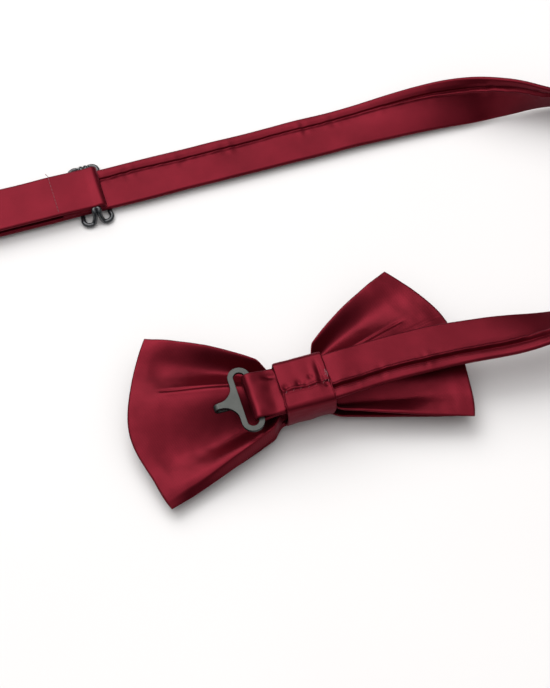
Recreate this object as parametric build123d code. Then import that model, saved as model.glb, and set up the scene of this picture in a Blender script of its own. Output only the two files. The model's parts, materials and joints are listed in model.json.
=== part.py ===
from build123d import *
import math
import os

# Pre-tied satin bow tie with an adjustable neckband, lying on its face.
# Millimetres. Z = 0 is the resting plane, +Z points to the back of the tie,
# +X runs from the knot along the neckband, +Y points to the return run.

os.makedirs("parts", exist_ok=True)

# ---- knot ----
knot_left = -7.0
knot_right = 11.0
knot_across = 20.8
knot_high = 20.0
wrap_wall = 1.0
lining_wall = 0.4
back_corner_r = 2.4
front_corner_r = 6.0
line_y = 1.0

# ---- bow layers ----
bow_radius = 61.5
bow_centre_x = -0.6
wing_root = 9.0
root_half = 7.3
top_reach = 33.0
bottom_reach = 22.0
satin_wall = 0.9
rear_z = 11.4
rear_thick = 6.2
front_z = 4.9
front_thick = 5.8
pleat_depth = 1.1
pleats = 2.5

# ---- neckband ----
band_width = 18.0
band_thick = 1.8
band_wall = 0.5
band_z = 16.9
run_z = 2.6
turn_x = 72.0
turn_reach = 108.0
run_y = 110.5
apex_lean = 105.0

# ---- hook ----
hook_bar_x = -16.2
hook_z = 16.9
hook_plate = 1.2
hook_ring_out = 4.1
hook_ring_in = 2.05
hook_lobe_y = 8.9
hook_ring_x = -19.2
tongue_tip_x = -29.2
tab_width = 18.0
tab_cloth = 1.1
tab_loop_in = 1.25

# ---- slide adjuster ----
slide_x = -47.85
slot_pitch = 6.3
slide_wire = 1.4
slide_lobe_r = 2.3
slide_lobe_y = 10.6
centre_bar_z = 5.2
outer_bar_z = 0.7
end_cloth = 0.8
end_loop_in = 0.8
end_sag = 3.6
end_tail = 17.0
top_layer_end = -128.0

# ---- eye ----
eye_x = -150.0
eye_z = 5.35
eye_wire = 1.6
eye_long = 24.0
eye_open = 7.0
eye_cloth = 0.6
eye_loop_in = 1.1
eye_arm_end = -75.0
run_end_x = -98.0


def smooth(u):
    return u * u * (3 - 2 * u)


def box_between(x0, x1, y0, y1, z0, z1):
    """Box from its low corner to its high corner."""
    b = Box(x1 - x0, y1 - y0, z1 - z0)
    return b.moved(Location(((x0 + x1) / 2, (y0 + y1) / 2, (z0 + z1) / 2)))


def rod(p, q, r):
    """Round wire from p to q with a ball at each end."""
    a = Vector(*p)
    d = Vector(*q) - a
    pl = Plane(origin=a, z_dir=d)
    body = pl * Pos(0, 0, d.length / 2) * Cylinder(r, d.length)
    return body + Pos(*p) * Sphere(r) + Pos(*q) * Sphere(r)


def yz_outline(x, half, z0, z1, r_back, r_front, yc):
    """Closed rounded outline in the plane X = x, softer at the front of the tie."""
    d = Plane(origin=(x, yc, 0), x_dir=(0, 1, 0), z_dir=(1, 0, 0))
    k = math.sqrt(0.5)
    pts = [
        (half - r_front, z0), (half - r_front * (1 - k), z0 + r_front * (1 - k)),
        (half, z0 + r_front), (half, z1 - r_back),
        (half - r_back * (1 - k), z1 - r_back * (1 - k)), (half - r_back, z1),
    ]
    m = [(-a, b) for a, b in pts]
    w = Wire([
        Line(m[0], pts[0]).edge(), ThreePointArc(pts[0], pts[1], pts[2]).edge(),
        Line(pts[2], pts[3]).edge(), ThreePointArc(pts[3], pts[4], pts[5]).edge(),
        Line(pts[5], m[5]).edge(), ThreePointArc(m[5], m[4], m[3]).edge(),
        Line(m[3], m[2]).edge(), ThreePointArc(m[2], m[1], m[0]).edge(),
    ])
    return d * Face(w)


def knot_tube(inset, x0, x1):
    """Solid filling the knot's outline, drawn in by inset on every side."""
    f = yz_outline(
        x0, knot_across / 2 - inset, inset, knot_high - inset,
        max(back_corner_r - inset, 0.8), front_corner_r - inset, line_y)
    return extrude(f, amount=x1 - x0, dir=(1, 0, 0))


def zigzag(x0, x1, y, z, pitch, swing, r):
    """One thread whipped to and fro across a seam that runs along X."""
    n = int((x1 - x0) / pitch)
    out = None
    for i in range(n):
        a = (x0 + i * pitch, y + swing * (-1) ** i, z)
        b = (x0 + (i + 1) * pitch, y - swing * (-1) ** i, z)
        s = rod(a, b, r)
        out = s if out is None else out + s
    return out


def running_stitch(x, y0, y1, z0, z1, pitch, r):
    """Thread that runs along Y, passing up and down through the cloth."""
    n = int((y1 - y0) / pitch)
    out = None
    for i in range(n):
        a = y0 + i * pitch
        za = z1 if i % 2 == 0 else z0
        s = rod((x, a, za), (x, a + pitch, za), r) + rod((x, a, z0), (x, a, z1), r)
        out = s if out is None else out + s
    return out + rod((x, y0 + n * pitch, z0), (x, y0 + n * pitch, z1), r)


def wing_edge(s, reach, bend):
    """Distance of a wing's edge from the bow's centre line, s from root to end."""
    return root_half + reach * max(s, 0.0) ** bend


def wing_face(side, s, zc, thick, rise, shrink, widen):
    """Pleated section of one bow layer at fraction s of the wing's length."""
    x = side * (wing_root + s * 56.0)
    grow = smooth(min(s * 1.6, 1.0))
    top = line_y + 3.0 * grow + wing_edge(s, top_reach * widen, 0.62) - shrink
    low = line_y + 1.0 * grow - wing_edge(s, bottom_reach * widen, 0.75) + shrink
    n = 14
    upper = []
    lower = []
    for i in range(n + 1):
        u = i / n
        y = low + (top - low) * u
        body = 0.42 + 0.58 * math.sin(math.pi * u) ** 0.8
        wave = pleat_depth * grow * math.cos(2 * math.pi * pleats * (u - 0.42)) * -1
        z = zc + rise * grow * (2 * u - 1) + wave * math.sin(math.pi * u)
        half = max(thick * body / 2, 0.12)
        upper.append((y, z + half))
        lower.append((y, z - half))
    w = Wire([
        Spline(*upper).edge(), Line(upper[-1], lower[-1]).edge(),
        Spline(*lower).edge(), Line(lower[0], upper[0]).edge(),
    ])
    return Plane(origin=(x, 0, 0), x_dir=(0, 1, 0), z_dir=(1, 0, 0)) * Face(w)


def wing(side, zc, thick, zend, tend, rise, shrink, thin, s0, s1, widen):
    """One wing of a bow layer, lofted through pleated sections."""
    faces = []
    n = 7
    for i in range(n + 1):
        s = s0 + (s1 - s0) * i / n
        g = smooth(min(max(s, 0) * 1.8, 1.0))
        swell = 0.9 * math.sin(math.pi * min(s, 1.0)) if s > 0 else 0.0
        z = zc + (zend - zc) * g
        t = thick + (tend - thick) * g + swell - thin
        faces.append(wing_face(side, s, z, t, rise, shrink, widen))
    return loft(faces)


def end_round(inset):
    """Round outline both ends of the bow are cut to."""
    c = Cylinder(bow_radius - inset, 60)
    return Pos(bow_centre_x, line_y, 20) * c


def knot_squeeze():
    """Everything the wrap and its lining leave no room for."""
    full = box_between(knot_left, knot_right, -40, 40, -5, 60)
    return full - knot_tube(wrap_wall + lining_wall, knot_left - 1, knot_right + 1)


def bow_layer(zc, thick, zend, tend, rise, widen):
    """Both wings of one layer joined through the knot, and the sheet inside them."""
    half = root_half - 0.02
    deep = thick * 0.2
    skin = box_between(
        -wing_root - 0.4, wing_root + 0.4, line_y - half, line_y + half, zc - deep, zc + deep)
    sheet = box_between(
        -wing_root - 8, wing_root + 8, line_y - 5, line_y + 5, zc - 0.3, zc + 0.3)
    skin = skin - sheet
    for side in (1, -1):
        out = wing(side, zc, thick, zend, tend, rise, 0.0, 0.0, 0.0, 1.0, widen)
        out = out & end_round(0)
        inn = wing(side, zc, thick, zend, tend, rise, 1.6, 2 * satin_wall, 0.1, 1.0, widen)
        inn = inn & end_round(1.4)
        mid = wing(side, zc, 0.7, zend, 0.7, rise, 2.2, 0.0, 0.14, 1.0, widen)
        mid = mid & end_round(2.2)
        skin = skin + (out - inn - sheet)
        sheet = sheet + mid
    cut = knot_squeeze() + gather_binding()
    return skin - sheet - cut, sheet


def gather_binding():
    """Thread wound round the pinched layers, its turns touching."""
    high = rear_z + rear_thick * 0.5 + 0.25
    outer = None
    for i in range(6):
        x = 1.0 + i * 0.34
        f = knot_tube(1.5, x, x + 0.4)
        outer = f if outer is None else outer + f
    outer = outer & box_between(0, 5, -20, 20, 0, high)
    inner = knot_tube(1.9, 0, 5) & box_between(0, 5, -20, 20, 0, high - 0.4)
    return outer - inner


def lean_at(a):
    """Lean of the neckband from flat, in degrees, at angle a round the turn."""
    power = 0.85 if a < math.pi / 2 else 0.6
    return apex_lean * max(math.sin(a), 0.0) ** power


def turn_point(a):
    """Centre of the neckband's width at angle a round the turn."""
    ry = (run_y - line_y) / 2
    lean = math.radians(lean_at(a))
    drop = (0.5 + 0.5 * math.cos(a)) ** 2
    z = run_z + 7.4 * math.sin(lean) + (band_z - run_z) * drop
    return Vector(turn_x + turn_reach * math.sin(a), line_y + ry - ry * math.cos(a), z)


def turn_face(a, width, thick):
    """Cross-section of the neckband at angle a round the turn."""
    h = 0.01
    t = (turn_point(a + h) - turn_point(a - h)).normalized()
    if a < 0.001 or a > math.pi - 0.001:
        t = Vector(1, 0, 0) if a < 1 else Vector(-1, 0, 0)
    out = Vector(t.Y, -t.X, 0).normalized()
    lean = math.radians(lean_at(a))
    across = out * math.cos(lean) + Vector(0, 0, 1) * math.sin(lean)
    across = (across - t * across.dot(t)).normalized()
    pl = Plane(origin=turn_point(a), x_dir=across, z_dir=t)
    return pl * Rectangle(width, thick).face()


def band_solid(width, thick, x_end):
    """Neckband from the knot, round the turn and along the return run."""
    faces = []
    n = 16
    for i in range(n + 1):
        faces.append(turn_face(math.pi * i / n, width, thick))
    turn = loft(faces)
    low = box_between(
        knot_right + 0.3, turn_x, line_y - width / 2, line_y + width / 2,
        band_z - thick / 2, band_z + thick / 2)
    inner = box_between(
        2.5, knot_right + 0.4, line_y - width / 2 + 0.6, line_y + width / 2 - 0.6,
        band_z - thick / 2, band_z + thick / 2)
    far = box_between(
        x_end, turn_x, run_y - width / 2, run_y + width / 2,
        run_z - thick / 2, run_z + thick / 2)
    return turn + low + inner + far


def loop_profile(xc, zc, r_in, cloth, sag, x_end, gap, grow):
    """Strap end folded round a bar: open side towards +X, returned as a face in XZ."""
    ro = r_in + cloth + grow
    ri = r_in - grow
    z_out = gap / 2 + cloth + grow
    z_in = max(gap / 2 - grow, 0.02)
    lead = 3.2
    pts_o = [(xc + lead + sag, z_out), (x_end, z_out)]
    pts_i = [(xc + lead + sag, z_in), (x_end, z_in)]

    def half(r, p, sign):
        top = (xc + sag, sign * r)
        s = Spline((top[0], zc + top[1]), (p[0][0], zc + sign * p[0][1]),
                   tangents=[(1, 0), (1, 0)])
        return [s.edge(), Line((p[0][0], zc + sign * p[0][1]),
                               (p[1][0], zc + sign * p[1][1])).edge()], top

    def face(r, p):
        up, tu = half(r, p, 1)
        dn, td = half(r, p, -1)
        edges = up + dn
        if sag > 0:
            edges.append(Line((xc, zc + r), (xc + sag, zc + r)).edge())
            edges.append(Line((xc, zc - r), (xc + sag, zc - r)).edge())
        edges.append(ThreePointArc((xc, zc + r), (xc - r, zc), (xc, zc - r)).edge())
        edges.append(Line((p[1][0], zc + p[1][1]), (p[1][0], zc - p[1][1])).edge())
        return Face(Wire(edges))

    return face(ro, pts_o), face(ri, pts_i)


def folded_loop(xc, yc, zc, r_in, cloth, sag, x_end, gap, width):
    """Strap end folded round a bar, its opening running along Y."""
    outer, inner = loop_profile(xc, zc, r_in, cloth, sag, x_end, gap, 0.0)
    pl = Plane(origin=(0, yc + width / 2, 0), x_dir=(1, 0, 0), z_dir=(0, -1, 0))
    a = extrude(pl * outer, amount=width, dir=(0, -1, 0))
    b = extrude(pl * inner, amount=width, dir=(0, -1, 0))
    return a - b


def hook_tab():
    """Short strap end folded round the hook's hidden bar and held in the knot."""
    tab = folded_loop(
        hook_bar_x, line_y, hook_z, tab_loop_in, tab_cloth, 0.0, 1.9, 0.14, tab_width)
    for side in (1, -1):
        y0 = line_y + side * (tab_width / 2 - 0.5)
        tab = tab - box_between(
            knot_left - 0.3, 5, min(y0, y0 + side * 3), max(y0, y0 + side * 3), 10, 25)
    return tab


def stadium(xc, yc, half, r):
    """Slot-shaped sketch with its length along Y."""
    s = Pos(xc, yc) * Rectangle(2 * r, 2 * half)
    return s + Pos(xc, yc + half) * Circle(r) + Pos(xc, yc - half) * Circle(r)


def hook():
    """Stamped hook: slotted ring with a flared tongue whose tip folds under."""
    ring = stadium(hook_ring_x, line_y, hook_lobe_y, hook_ring_out)
    x0 = hook_ring_x - hook_ring_out + 0.6
    tip = tongue_tip_x
    k = line_y
    edge = [(x0, k + 6.4), (x0 - 1.1, k + 3.6), (x0 - 3.0, k + 1.7), (tip, k + 1.15)]
    flip = [(a, 2 * k - b) for a, b in edge]
    tongue = Face(Wire([
        Spline(*edge).edge(), Line(edge[-1], flip[-1]).edge(),
        Spline(*flip).edge(), Line(flip[0], edge[0]).edge(),
    ]))
    flat = ring + tongue
    flat = flat - stadium(hook_ring_x, line_y, hook_lobe_y, hook_ring_in)
    base = Plane(origin=(0, 0, hook_z - hook_plate / 2))
    plate = extrude(base * flat, amount=hook_plate)
    ro = 1.75
    ri = ro - 1.0
    zc = hook_z + hook_plate / 2 - ro
    bend = Pos(tip, k, zc) * Rot(90, 0, 0) * Cylinder(ro, 2.3)
    bend = bend - Pos(tip, k, zc) * Rot(90, 0, 0) * Cylinder(ri, 4)
    bend = bend & box_between(tip - 5, tip, k - 3, k + 3, zc - 5, zc + 5)
    leg = box_between(tip - 0.01, tip + 3.2, k - 1.15, k + 1.15, zc - ro, zc - ri)
    top = box_between(tip - 0.01, tip + 0.6, k - 1.15, k + 1.15, zc + ri, zc + ro)
    return plate + bend + leg + top


def slide_frame():
    """Round-wire slide: two side-by-side slots, its centre bar arched up."""
    r = slide_wire / 2
    out = None
    for side in (1, -1):
        xc = slide_x + side * slot_pitch / 2
        x_out = xc + side * slide_lobe_r
        bar = rod((x_out, run_y - slide_lobe_y, outer_bar_z),
                  (x_out, run_y + slide_lobe_y, outer_bar_z), r)
        out = bar if out is None else out + bar
        for end in (1, -1):
            y0 = run_y + end * slide_lobe_y
            n = 6
            prev = None
            for i in range(n + 1):
                a = math.pi * i / n
                u = i / n
                x = xc + side * slide_lobe_r * math.cos(a)
                if i == n:
                    x = slide_x
                y = y0 + end * slide_lobe_r * math.sin(a)
                z = outer_bar_z + (centre_bar_z - outer_bar_z) * smooth(u)
                if prev is not None:
                    out = out + rod(prev, (x, y, z), r)
                prev = (x, y, z)
    mid = rod((slide_x, run_y - slide_lobe_y, centre_bar_z),
              (slide_x, run_y + slide_lobe_y, centre_bar_z), r)
    return out + mid


def slide_end():
    """Far end of the strap: folded round the slide's centre bar, then the top layer."""
    x_front = slide_x + 2.5
    loop = folded_loop(
        0, 0, centre_bar_z, end_loop_in, end_cloth, end_sag, end_tail, 0.12, band_width)
    loop = Pos(x_front, run_y, 0) * Rot(0, 0, 180) * loop
    z0 = centre_bar_z + 0.06
    return loop + box_between(
        top_layer_end, x_front - end_tail + 0.01, run_y - band_width / 2,
        run_y + band_width / 2, z0, z0 + end_cloth)


def eye_fold():
    """Strap turned round the eye's bar, its two arms reaching towards the slide."""
    return folded_loop(
        eye_x, run_y, eye_z, eye_loop_in, eye_cloth, 0.0, eye_arm_end,
        2 * eye_loop_in, band_width)


def eye():
    """Wire eye the hook catches in."""
    r = eye_wire / 2
    y0 = run_y - eye_long / 2
    y1 = run_y + eye_long / 2
    x0 = eye_x - eye_open
    near = rod((eye_x, y0, eye_z), (eye_x, y1, eye_z), r)
    far = rod((x0, y0 + 3, eye_z), (x0, y1 - 3, eye_z), r)
    sides = rod((eye_x, y0, eye_z), (x0, y0 + 3, eye_z), r)
    return near + far + sides + rod((eye_x, y1, eye_z), (x0, y1 - 3, eye_z), r)


def save(name, shape):
    """Write one node and print its size."""
    export_step(shape, "parts/" + name + ".step")
    b = shape.bounding_box()
    print(name, len(shape.solids()), round(shape.volume, 2),
          [round(v, 2) for v in (b.min.X, b.min.Y, b.min.Z, b.max.X, b.max.Y, b.max.Z)])


def save_knot():
    """Wrap, its lining and the stitches that close it."""
    wrap = knot_tube(0, knot_left, knot_right)
    wrap = wrap - knot_tube(wrap_wall, knot_left - 1, knot_right + 1)
    lining = knot_tube(wrap_wall, knot_left + 0.4, knot_right - 0.4)
    lining = lining - knot_tube(wrap_wall + lining_wall, knot_left - 1, knot_right + 1)
    closing = zigzag(knot_left + 0.8, knot_right - 0.8, line_y - 2.6, knot_high, 1.1, 0.45, 0.2)
    save("knot_wrap", wrap - closing)
    save("knot_interlining", lining)
    save("knot_closing_stitches", closing)


def save_bow():
    """Two pleated layers, the stiffening inside them and the thread round both."""
    rear, rear_sheet = bow_layer(rear_z, rear_thick, 9.6, 4.6, 3.6, 1.0)
    front, front_sheet = bow_layer(front_z, front_thick, 3.9, 3.2, 1.1, 0.95)
    save("bow_rear_layer", rear)
    save("bow_rear_interlining", rear_sheet)
    save("bow_front_layer", front)
    save("bow_front_interlining", front_sheet)
    save("gather_thread", gather_binding())


def save_band():
    """Long strap and its interlining."""
    hollow = band_solid(band_width - 2 * band_wall, band_thick - 2 * band_wall, run_end_x + 0.5)
    hollow = hollow & box_between(3.0, 400, -50, 60, 0, 40) + box_between(
        run_end_x, 400, 60, 200, 0, 40)
    inside = band_solid(band_width - 2.4, 0.5, run_end_x + 1.5)
    inside = inside & box_between(3.5, 400, -50, 60, 0, 40) + box_between(
        run_end_x, 400, 60, 200, 0, 40)
    save("neckband", band_solid(band_width, band_thick, run_end_x) - hollow)
    save("neckband_interlining", inside)


def save_hook():
    """Short tab, the stitches that hold its fold and the hook it carries."""
    tab = hook_tab()
    half = band_width / 2 - 1.2
    sewn = running_stitch(
        -3.0, line_y - half, line_y + half, hook_z - 1.1, hook_z + 1.1, 1.4, 0.15)
    save("hook_tab", tab - sewn)
    save("hook_tab_stitches", sewn)
    save("hook", hook())


def save_slide():
    """Slide, the strap end sewn round its centre bar and the stitches."""
    end = slide_end()
    half = band_width / 2 - 0.8
    sewn = running_stitch(
        slide_x + 2.5 - end_tail + 1.2, run_y - half, run_y + half,
        centre_bar_z - 0.78, centre_bar_z + 0.82, 1.6, 0.14)
    save("slide_adjuster", slide_frame())
    save("slide_end", end - sewn)
    save("slide_end_stitches", sewn)


def save_eye():
    """Eye and the turn of strap that holds it."""
    save("eye_fold", eye_fold())
    save("eye", eye())


save_knot()
save_bow()
save_band()
save_hook()
save_slide()
save_eye()
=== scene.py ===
import bmesh
import bpy
import json
import math
from mathutils import Matrix, Vector, noise

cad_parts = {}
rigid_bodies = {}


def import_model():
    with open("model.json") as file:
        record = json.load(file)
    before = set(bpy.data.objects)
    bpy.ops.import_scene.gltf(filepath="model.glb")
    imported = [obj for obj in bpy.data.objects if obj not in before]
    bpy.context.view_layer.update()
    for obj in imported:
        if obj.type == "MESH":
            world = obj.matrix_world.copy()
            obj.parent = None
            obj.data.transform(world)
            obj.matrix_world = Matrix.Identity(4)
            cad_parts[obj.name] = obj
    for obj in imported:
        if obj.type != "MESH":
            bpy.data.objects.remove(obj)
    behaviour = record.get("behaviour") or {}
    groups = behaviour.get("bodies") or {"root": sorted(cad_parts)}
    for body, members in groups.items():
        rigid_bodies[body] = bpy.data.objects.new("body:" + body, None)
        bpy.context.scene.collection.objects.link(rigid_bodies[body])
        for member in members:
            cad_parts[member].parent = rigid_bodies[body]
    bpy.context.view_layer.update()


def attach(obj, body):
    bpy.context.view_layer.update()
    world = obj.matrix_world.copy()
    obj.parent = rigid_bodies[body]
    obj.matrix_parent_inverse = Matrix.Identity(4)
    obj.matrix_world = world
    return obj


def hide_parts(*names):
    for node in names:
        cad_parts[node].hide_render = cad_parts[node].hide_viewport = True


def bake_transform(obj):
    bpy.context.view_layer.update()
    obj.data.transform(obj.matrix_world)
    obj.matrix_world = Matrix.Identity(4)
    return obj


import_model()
FINE = 1.0
MM = 0.001

# ---------------------------------------------------------------- sizes, mm
LINE_Y = 1.0            # centre line of knot, tab and hook
KNOT = (-7.0, 11.0)
KNOT_HALF = 10.4
KNOT_HIGH = 20.0
BAND_W = 18.0
BAND_T = 1.9
BAND_Z = 16.9
TURN_X = 72.0
TURN_REACH = 108.0
RUN_Y = 110.5
RUN_Z = 2.6
SLIDE_X = -47.85
BAR_Z = 5.2
EYE_X = -150.0
EYE_Z = 5.35
HOOK_BAR_X = -16.2
LEAN_LIFT = 7.6         # how far a strap standing on edge lifts its centre line
SEWN_X = -61.7          # stitch line that holds the fold round the slide
TAB_SEWN_X = -3.0


# ---------------------------------------------------------------- small maths
def lerp(a, b, t):
    return a + (b - a) * t


def clamp(t, a=0.0, b=1.0):
    return max(a, min(b, t))


def smooth(t):
    t = clamp(t)
    return t * t * (3 - 2 * t)


def bell(x, c, w):
    return math.exp(-((x - c) / w) ** 2)


def nz(x, y, z=0.0):
    return noise.noise(Vector((x, y, z)))


def curve(t, nodes):
    """Smooth curve through (t, value) nodes with continuous slope."""
    n = len(nodes)
    if t <= nodes[0][0]:
        return nodes[0][1]
    if t >= nodes[-1][0]:
        return nodes[-1][1]
    slopes = []
    for i in range(n):
        a, b = nodes[max(i - 1, 0)], nodes[min(i + 1, n - 1)]
        slopes.append((b[1] - a[1]) / (b[0] - a[0]) if 0 < i < n - 1 else 0.0)
    for i in range(n - 1):
        (t0, v0), (t1, v1) = nodes[i], nodes[i + 1]
        if t <= t1:
            h = t1 - t0
            k = (t - t0) / h
            return ((2 * k ** 3 - 3 * k ** 2 + 1) * v0 + (k ** 3 - 2 * k ** 2 + k) * h * slopes[i]
                    + (-2 * k ** 3 + 3 * k ** 2) * v1 + (k ** 3 - k ** 2) * h * slopes[i + 1])


def through(t, nodes):
    """Soft curve through (t, value) nodes."""
    if t <= nodes[0][0]:
        return nodes[0][1]
    for (t0, v0), (t1, v1) in zip(nodes, nodes[1:]):
        if t <= t1:
            return lerp(v0, v1, smooth((t - t0) / (t1 - t0)))
    return nodes[-1][1]


# ---------------------------------------------------------------- materials
class Nodes:
    """Short way to build a node material."""

    def __init__(self, name):
        self.mat = bpy.data.materials.new(name)
        self.mat.use_nodes = True
        self.t = self.mat.node_tree
        self.t.nodes.clear()
        self.out = self.t.nodes.new("ShaderNodeOutputMaterial")
        self.bsdf = self.t.nodes.new("ShaderNodeBsdfPrincipled")
        self.link(self.bsdf.outputs[0], self.out.inputs[0])

    def new(self, kind, **props):
        n = self.t.nodes.new("ShaderNode" + kind)
        for k, v in props.items():
            setattr(n, k, v)
        return n

    def link(self, a, b):
        self.t.links.new(a, b)

    def put(self, node, **values):
        for k, v in values.items():
            s = node.inputs[k.replace("_", " ")]
            if hasattr(v, "node"):
                self.link(v, s)
            else:
                s.default_value = v
        return node

    def coords(self, kind="UV", scale=(1, 1, 1), turn=0.0):
        c = self.new("TexCoord")
        m = self.new("Mapping")
        m.inputs["Scale"].default_value = scale
        m.inputs["Rotation"].default_value = (0, 0, turn)
        self.link(c.outputs[kind], m.inputs["Vector"])
        return m.outputs[0]

    def noise(self, vec, scale, detail=3.0, rough=0.55):
        n = self.new("TexNoise")
        self.link(vec, n.inputs["Vector"])
        self.put(n, Scale=scale, Detail=detail, Roughness=rough)
        return n.outputs["Fac"]

    def ramp(self, fac, stops):
        r = self.new("ValToRGB")
        els = r.color_ramp.elements
        while len(els) < len(stops):
            els.new(0.5)
        for e, (p, c) in zip(els, stops):
            e.position = p
            e.color = (*c, 1) if len(c) == 3 else c
        self.link(fac, r.inputs[0])
        return r.outputs[0]

    def mix(self, fac, a, b, mode="MIX"):
        m = self.new("Mix", data_type="RGBA", blend_type=mode)
        for s, v in ((m.inputs[0], fac), (m.inputs[6], a), (m.inputs[7], b)):
            if hasattr(v, "node"):
                self.link(v, s)
            else:
                s.default_value = v if isinstance(v, float) else (*v, 1)
        return m.outputs[2]

    def math(self, op, a, b=0.0):
        m = self.new("Math", operation=op)
        for s, v in ((m.inputs[0], a), (m.inputs[1], b)):
            if hasattr(v, "node"):
                self.link(v, s)
            else:
                s.default_value = v
        return m.outputs[0]

    def bump(self, height, strength, distance, normal=None):
        b = self.new("Bump")
        self.put(b, Height=height, Strength=strength, Distance=distance)
        if normal is not None:
            self.link(normal, b.inputs["Normal"])
        return b.outputs[0]

    def wave(self, vec, scale, distort=0.0):
        w = self.new("TexWave", wave_type="BANDS", bands_direction="X")
        self.link(vec, w.inputs["Vector"])
        self.put(w, Scale=scale, Distortion=distort)
        w.inputs["Detail Scale"].default_value = 1.5
        return w.outputs["Fac"]


def satin(name, deep, bright):
    """Burgundy satin: fine twill, slight slub, colour drift and a cloth sheen. UVs are in mm."""
    m = Nodes(name)
    twill = m.wave(m.coords(turn=math.radians(38)), 0.62, 0.35)
    cross = m.wave(m.coords(turn=math.radians(-50)), 0.9, 0.6)
    slub = m.noise(m.coords(scale=(0.25, 3.0, 1)), 1.1, 4)
    drift = m.noise(m.coords(scale=(0.05, 0.05, 1)), 1.0, 3)
    fuzz = m.noise(m.coords(), 5.0, 2)
    colour = m.ramp(drift, [(0.3, deep), (0.7, bright)])
    thread = m.ramp(m.math("MULTIPLY", twill, slub), [(0.05, (0.72, 0.70, 0.72)), (0.5, (1.08, 1.06, 1.06))])
    colour = m.mix(0.65, colour, thread, "MULTIPLY")
    speck = m.ramp(fuzz, [(0.30, (0.86, 0.84, 0.86)), (0.7, (1.10, 1.08, 1.08))])
    colour = m.mix(0.5, colour, speck, "MULTIPLY")
    h = m.math("ADD", m.math("MULTIPLY", twill, 0.6), m.math("MULTIPLY", cross, 0.25))
    h = m.math("ADD", h, m.math("MULTIPLY", slub, 0.35))
    n = m.bump(h, 0.30, 0.00008)
    n = m.bump(m.noise(m.coords(scale=(0.08, 0.12, 1)), 1.0, 2), 0.12, 0.0006, n)
    rough = m.math("ADD", m.math("MULTIPLY", slub, 0.12), 0.30)
    m.put(m.bsdf, Base_Color=colour, Roughness=rough, Normal=n, Metallic=0.72)
    m.bsdf.inputs["Specular IOR Level"].default_value = 0.20
    m.bsdf.inputs["Specular Tint"].default_value = (1.0, 0.55, 0.62, 1)
    m.bsdf.inputs["Sheen Weight"].default_value = 0.012
    m.bsdf.inputs["Sheen Roughness"].default_value = 0.35
    m.bsdf.inputs["Sheen Tint"].default_value = (0.85, 0.55, 0.62, 1)
    return m.mat


def thread_mat(name, colour):
    """Twisted sewing thread."""
    m = Nodes(name)
    ply = m.wave(m.coords("Object", (1000, 1000, 1000), math.radians(35)), 1.6, 0.3)
    tint = m.ramp(ply, [(0.2, tuple(c * 0.55 for c in colour)), (0.8, colour)])
    m.put(m.bsdf, Base_Color=tint, Roughness=0.5, Normal=m.bump(ply, 0.5, 0.0001))
    m.bsdf.inputs["Sheen Weight"].default_value = 0.4
    return m.mat


def weave_mat(name, colour):
    """Plain woven stiffening."""
    m = Nodes(name)
    a = m.wave(m.coords("Object", (1000, 1000, 1000)), 0.55)
    b = m.wave(m.coords("Object", (1000, 1000, 1000), math.radians(90)), 0.55)
    w = m.math("MULTIPLY", a, b)
    tint = m.ramp(w, [(0.1, tuple(c * 0.7 for c in colour)), (0.8, colour)])
    m.put(m.bsdf, Base_Color=tint, Roughness=0.85, Normal=m.bump(w, 0.6, 0.0002))
    return m.mat


def hook_mat():
    """Black metal with a painted reflection: the upward face is painted grey for the overhead light it mirrors, while
    the sides and underside keep the metal's own black; faint rolling marks and rubbed spots.
    """
    m = Nodes("hook_plate")
    geo = m.new("TexCoord")
    sep = m.new("SeparateXYZ")
    m.link(geo.outputs["Normal"], sep.inputs[0])
    grain = m.noise(m.coords("Object", (300, 3000, 900)), 1.0, 4)
    cloud = m.noise(m.coords("Object", (220, 220, 220)), 1.0, 4)
    # painted reflection: face is the grey painted on up-facing parts for the mirrored overhead light; edge is the
    # metal's own black; up picks between them by how far a face turns up
    face = m.ramp(cloud, [(0.3, (0.034, 0.037, 0.034)), (0.75, (0.062, 0.066, 0.061))])
    edge = m.ramp(cloud, [(0.3, (0.006, 0.009, 0.010)), (0.8, (0.02, 0.026, 0.027))])
    up = m.ramp(sep.outputs["Z"], [(0.55, (0, 0, 0)), (0.85, (1, 1, 1))])
    m.put(m.bsdf, Base_Color=m.mix(up, edge, face), Metallic=0.55,
          Roughness=m.math("ADD", m.math("MULTIPLY", cloud, 0.2), 0.34),
          Normal=m.bump(grain, 0.12, 0.0001))
    return m.mat


def slide_mat():
    """Black lacquered wire, a little dusty and worn through in random patches."""
    m = Nodes("slide_lacquer")
    dust = m.noise(m.coords("Object", (900, 900, 900)), 1.0, 5)
    fine = m.noise(m.coords("Object", (5000, 5000, 5000)), 1.0, 2)
    tint = m.ramp(dust, [(0.35, (0.004, 0.006, 0.008)), (0.72, (0.018, 0.022, 0.027))])
    m.put(m.bsdf, Base_Color=tint, Metallic=0.25,
          Roughness=m.math("ADD", m.math("MULTIPLY", dust, 0.25), 0.12),
          Normal=m.bump(fine, 0.06, 0.00005))
    m.bsdf.inputs["Coat Weight"].default_value = 0.6
    m.bsdf.inputs["Coat Roughness"].default_value = 0.12
    return m.mat


BURGUNDY = (0.090, 0.0047, 0.0098), (0.124, 0.0069, 0.0140)
SATIN = satin("satin_bow", *BURGUNDY)
SATIN_BAND = satin("satin_band", *BURGUNDY)
THREAD = thread_mat("thread_burgundy", (0.16, 0.012, 0.022))
THREAD_PALE = thread_mat("thread_caught_light", (0.26, 0.06, 0.085))
STIFF = weave_mat("woven_stiffening", (0.62, 0.58, 0.52))
HOOK = hook_mat()
SLIDE = slide_mat()


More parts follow.
